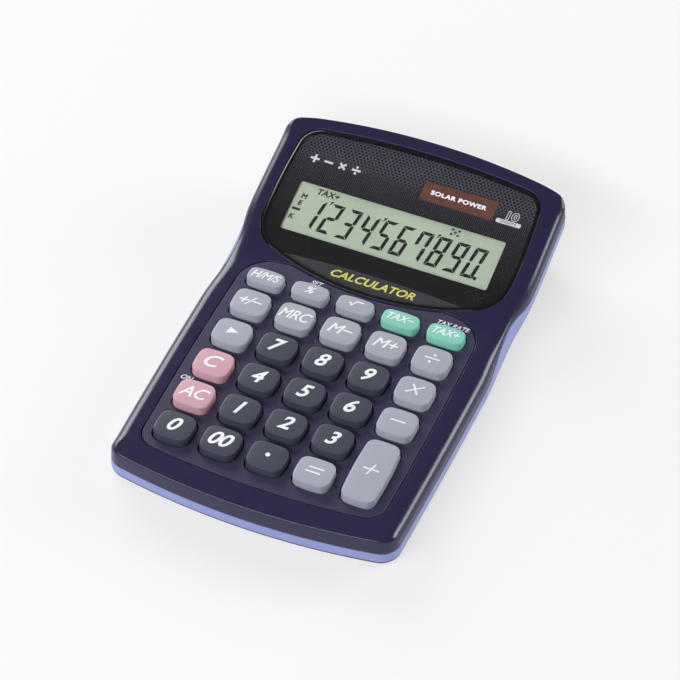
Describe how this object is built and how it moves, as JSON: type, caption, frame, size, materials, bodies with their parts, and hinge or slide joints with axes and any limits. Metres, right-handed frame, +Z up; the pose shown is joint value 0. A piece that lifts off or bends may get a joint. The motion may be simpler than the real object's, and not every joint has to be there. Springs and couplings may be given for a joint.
{
  "type": "desk calculator",
  "caption": "Compact splash-proof calculator with a level keypad, a sloping display window and a wedge-shaped underside.",
  "frame": {"origin": "on the standing plane, under the middle of the case", "axes": "+Y along the case towards the display end, +X to the user's right, +Z up out of the keypad"},
  "size_m": [0.1106, 0.1696, 0.0306],
  "materials": {
    "navy_case": "navy moulded plastic, satin gloss with a fine grain",
    "panel": "lighter navy moulded plastic, fine matt grain",
    "band": "periwinkle blue moulded plastic, satin",
    "base": "dark grey moulded plastic, matt",
    "key_grey": "cool grey key plastic, satin, white printed legends",
    "key_dark": "charcoal key plastic, satin, white printed legends",
    "key_pink": "dusty pink key plastic, satin, white printed legends",
    "key_green": "mint green key plastic, satin, white printed legends",
    "window": "glossy clear acrylic, printed black behind with a dot mesh",
    "lcd": "grey-green liquid crystal glass with black segments",
    "solar": "brown amorphous solar cell in strips",
    "rubber": "black moulded rubber",
    "silicone": "translucent white silicone",
    "board": "green solder-masked circuit board",
    "black_plastic": "black moulded plastic",
    "steel": "plain zinc-plated or stainless steel",
    "ribbon": "amber polyimide ribbon"
  },
  "bodies": {
    "case": {"top_case": "navy_case", "keypad_panel": "panel", "display_window": "window", "lcd_glass": "lcd", "lcd_frame": "black_plastic", "solar_cell": "solar", "circuit_board": "board", "controller_chip": "black_plastic", "switch_mat": "silicone", "display_ribbon": "ribbon", "middle_frame": "band", "case_gasket": "rubber", "bottom_case": "base", "case_screw_front_left": "steel", "case_screw_front_right": "steel", "case_screw_middle_left": "steel", "case_screw_middle_right": "steel", "case_screw_back_left": "steel", "case_screw_back_right": "steel", "foot_front_left": "rubber", "foot_front_right": "rubber", "foot_back_left": "rubber", "foot_back_right": "rubber", "battery_cover": "base", "battery_cover_seal": "rubber", "battery_cover_screw": "steel", "coin_cell": "steel", "cell_contact_negative": "steel", "cell_contact_positive": "steel"},
    "key_hms_body": {"key_hms": "key_grey"},
    "key_percent_body": {"key_percent": "key_grey"},
    "key_root_body": {"key_root": "key_grey"},
    "key_tax_minus_body": {"key_tax_minus": "key_green"},
    "key_tax_plus_body": {"key_tax_plus": "key_green"},
    "key_sign_body": {"key_sign": "key_grey"},
    "key_memory_recall_body": {"key_memory_recall": "key_grey"},
    "key_memory_minus_body": {"key_memory_minus": "key_grey"},
    "key_memory_plus_body": {"key_memory_plus": "key_grey"},
    "key_divide_body": {"key_divide": "key_grey"},
    "key_shift_body": {"key_shift": "key_grey"},
    "key_7_body": {"key_7": "key_dark"},
    "key_8_body": {"key_8": "key_dark"},
    "key_9_body": {"key_9": "key_dark"},
    "key_multiply_body": {"key_multiply": "key_grey"},
    "key_clear_body": {"key_clear": "key_pink"},
    "key_4_body": {"key_4": "key_dark"},
    "key_5_body": {"key_5": "key_dark"},
    "key_6_body": {"key_6": "key_dark"},
    "key_subtract_body": {"key_subtract": "key_grey"},
    "key_all_clear_body": {"key_all_clear": "key_pink"},
    "key_1_body": {"key_1": "key_dark"},
    "key_2_body": {"key_2": "key_dark"},
    "key_3_body": {"key_3": "key_dark"},
    "key_add_body": {"key_add": "key_grey"},
    "key_0_body": {"key_0": "key_dark"},
    "key_00_body": {"key_00": "key_dark"},
    "key_point_body": {"key_point": "key_dark"},
    "key_equals_body": {"key_equals": "key_grey"}
  },
  "joints": [
    {"name": "key_hms_press", "type": "slide", "parent": "case", "child": "key_hms_body", "axis": [0, 0, -1], "range_m": [0, 0.0012], "stiffness_N_per_m": 600},
    {"name": "key_percent_press", "type": "slide", "parent": "case", "child": "key_percent_body", "axis": [0, 0, -1], "range_m": [0, 0.0012], "stiffness_N_per_m": 600},
    {"name": "key_root_press", "type": "slide", "parent": "case", "child": "key_root_body", "axis": [0, 0, -1], "range_m": [0, 0.0012], "stiffness_N_per_m": 600},
    {"name": "key_tax_minus_press", "type": "slide", "parent": "case", "child": "key_tax_minus_body", "axis": [0, 0, -1], "range_m": [0, 0.0012], "stiffness_N_per_m": 600},
    {"name": "key_tax_plus_press", "type": "slide", "parent": "case", "child": "key_tax_plus_body", "axis": [0, 0, -1], "range_m": [0, 0.0012], "stiffness_N_per_m": 600},
    {"name": "key_sign_press", "type": "slide", "parent": "case", "child": "key_sign_body", "axis": [0, 0, -1], "range_m": [0, 0.0012], "stiffness_N_per_m": 600},
    {"name": "key_memory_recall_press", "type": "slide", "parent": "case", "child": "key_memory_recall_body", "axis": [0, 0, -1], "range_m": [0, 0.0012], "stiffness_N_per_m": 600},
    {"name": "key_memory_minus_press", "type": "slide", "parent": "case", "child": "key_memory_minus_body", "axis": [0, 0, -1], "range_m": [0, 0.0012], "stiffness_N_per_m": 600},
    {"name": "key_memory_plus_press", "type": "slide", "parent": "case", "child": "key_memory_plus_body", "axis": [0, 0, -1], "range_m": [0, 0.0012], "stiffness_N_per_m": 600},
    {"name": "key_divide_press", "type": "slide", "parent": "case", "child": "key_divide_body", "axis": [0, 0, -1], "range_m": [0, 0.0012], "stiffness_N_per_m": 600},
    {"name": "key_shift_press", "type": "slide", "parent": "case", "child": "key_shift_body", "axis": [0, 0, -1], "range_m": [0, 0.0012], "stiffness_N_per_m": 600},
    {"name": "key_7_press", "type": "slide", "parent": "case", "child": "key_7_body", "axis": [0, 0, -1], "range_m": [0, 0.0012], "stiffness_N_per_m": 600},
    {"name": "key_8_press", "type": "slide", "parent": "case", "child": "key_8_body", "axis": [0, 0, -1], "range_m": [0, 0.0012], "stiffness_N_per_m": 600},
    {"name": "key_9_press", "type": "slide", "parent": "case", "child": "key_9_body", "axis": [0, 0, -1], "range_m": [0, 0.0012], "stiffness_N_per_m": 600},
    {"name": "key_multiply_press", "type": "slide", "parent": "case", "child": "key_multiply_body", "axis": [0, 0, -1], "range_m": [0, 0.0012], "stiffness_N_per_m": 600},
    {"name": "key_clear_press", "type": "slide", "parent": "case", "child": "key_clear_body", "axis": [0, 0, -1], "range_m": [0, 0.0012], "stiffness_N_per_m": 600},
    {"name": "key_4_press", "type": "slide", "parent": "case", "child": "key_4_body", "axis": [0, 0, -1], "range_m": [0, 0.0012], "stiffness_N_per_m": 600},
    {"name": "key_5_press", "type": "slide", "parent": "case", "child": "key_5_body", "axis": [0, 0, -1], "range_m": [0, 0.0012], "stiffness_N_per_m": 600},
    {"name": "key_6_press", "type": "slide", "parent": "case", "child": "key_6_body", "axis": [0, 0, -1], "range_m": [0, 0.0012], "stiffness_N_per_m": 600},
    {"name": "key_subtract_press", "type": "slide", "parent": "case", "child": "key_subtract_body", "axis": [0, 0, -1], "range_m": [0, 0.0012], "stiffness_N_per_m": 600},
    {"name": "key_all_clear_press", "type": "slide", "parent": "case", "child": "key_all_clear_body", "axis": [0, 0, -1], "range_m": [0, 0.0012], "stiffness_N_per_m": 600},
    {"name": "key_1_press", "type": "slide", "parent": "case", "child": "key_1_body", "axis": [0, 0, -1], "range_m": [0, 0.0012], "stiffness_N_per_m": 600},
    {"name": "key_2_press", "type": "slide", "parent": "case", "child": "key_2_body", "axis": [0, 0, -1], "range_m": [0, 0.0012], "stiffness_N_per_m": 600},
    {"name": "key_3_press", "type": "slide", "parent": "case", "child": "key_3_body", "axis": [0, 0, -1], "range_m": [0, 0.0012], "stiffness_N_per_m": 600},
    {"name": "key_add_press", "type": "slide", "parent": "case", "child": "key_add_body", "axis": [0, 0, -1], "range_m": [0, 0.0012], "stiffness_N_per_m": 600},
    {"name": "key_0_press", "type": "slide", "parent": "case", "child": "key_0_body", "axis": [0, 0, -1], "range_m": [0, 0.0012], "stiffness_N_per_m": 600},
    {"name": "key_00_press", "type": "slide", "parent": "case", "child": "key_00_body", "axis": [0, 0, -1], "range_m": [0, 0.0012], "stiffness_N_per_m": 600},
    {"name": "key_point_press", "type": "slide", "parent": "case", "child": "key_point_body", "axis": [0, 0, -1], "range_m": [0, 0.0012], "stiffness_N_per_m": 600},
    {"name": "key_equals_press", "type": "slide", "parent": "case", "child": "key_equals_body", "axis": [0, 0, -1], "range_m": [0, 0.0012], "stiffness_N_per_m": 600}
  ]
}
